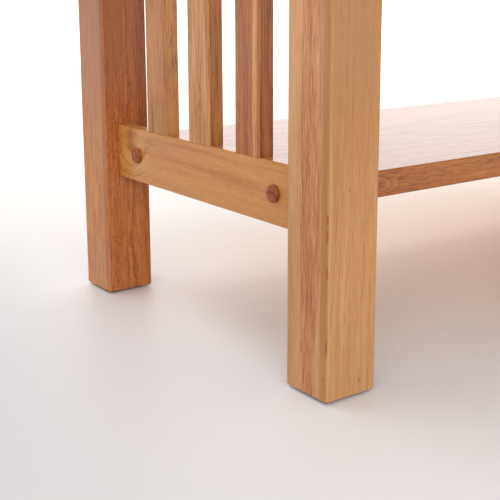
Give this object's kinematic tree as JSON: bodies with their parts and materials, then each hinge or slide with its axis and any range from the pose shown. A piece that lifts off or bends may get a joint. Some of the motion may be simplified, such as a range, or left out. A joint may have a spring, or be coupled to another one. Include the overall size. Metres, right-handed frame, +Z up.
{
  "type": "luggage rack",
  "caption": "Solid wood luggage stand with square posts, slatted end frames, a fixed lower shelf and a slatted deck for a suitcase.",
  "frame": {"origin": "on the floor, at the middle of the plan", "axes": "+X along the length, +Y from front to rear, +Z up"},
  "size_m": [0.76, 0.4, 0.5],
  "materials": {
    "post_wood": "satin lacquer",
    "rail_wood": "satin lacquer",
    "slat_wood": "satin lacquer",
    "deck_wood": "satin lacquer",
    "shelf_wood": "gloss lacquer",
    "button_wood": "satin lacquer",
    "dowel_wood": "raw",
    "felt": "dark brown felt",
    "bronzed_steel": "bronzed",
    "zinc_steel": "zinc plated"
  },
  "bodies": {
    "root": {"post_front_left": "post_wood", "foot_pad_front_left": "felt", "post_rear_left": "post_wood", "foot_pad_rear_left": "felt", "lower_rail_left": "rail_wood", "upper_rail_left": "rail_wood", "end_slat_left_front": "slat_wood", "end_slat_left_middle": "slat_wood", "end_slat_left_rear": "slat_wood", "cover_buttons_left": "button_wood", "post_front_right": "post_wood", "foot_pad_front_right": "felt", "post_rear_right": "post_wood", "foot_pad_rear_right": "felt", "lower_rail_right": "rail_wood", "upper_rail_right": "rail_wood", "end_slat_right_front": "slat_wood", "end_slat_right_middle": "slat_wood", "end_slat_right_rear": "slat_wood", "cover_buttons_right": "button_wood", "apron_front": "rail_wood", "ledger_front": "slat_wood", "apron_rear": "rail_wood", "ledger_rear": "slat_wood", "deck_slat_1": "deck_wood", "deck_slat_2": "deck_wood", "deck_slat_3": "deck_wood", "deck_slat_4": "deck_wood", "deck_slat_5": "deck_wood", "deck_slat_6": "deck_wood", "deck_slat_7": "deck_wood", "deck_slat_8": "deck_wood", "deck_slat_9": "deck_wood", "shelf_board": "shelf_wood", "rail_dowels": "dowel_wood", "slat_dowels": "dowel_wood", "apron_dowels": "dowel_wood", "apron_bolts": "bronzed_steel", "barrel_nuts": "zinc_steel", "shelf_screws": "zinc_steel", "deck_screws": "zinc_steel", "ledger_screws": "zinc_steel"}
  },
  "joints": []
}
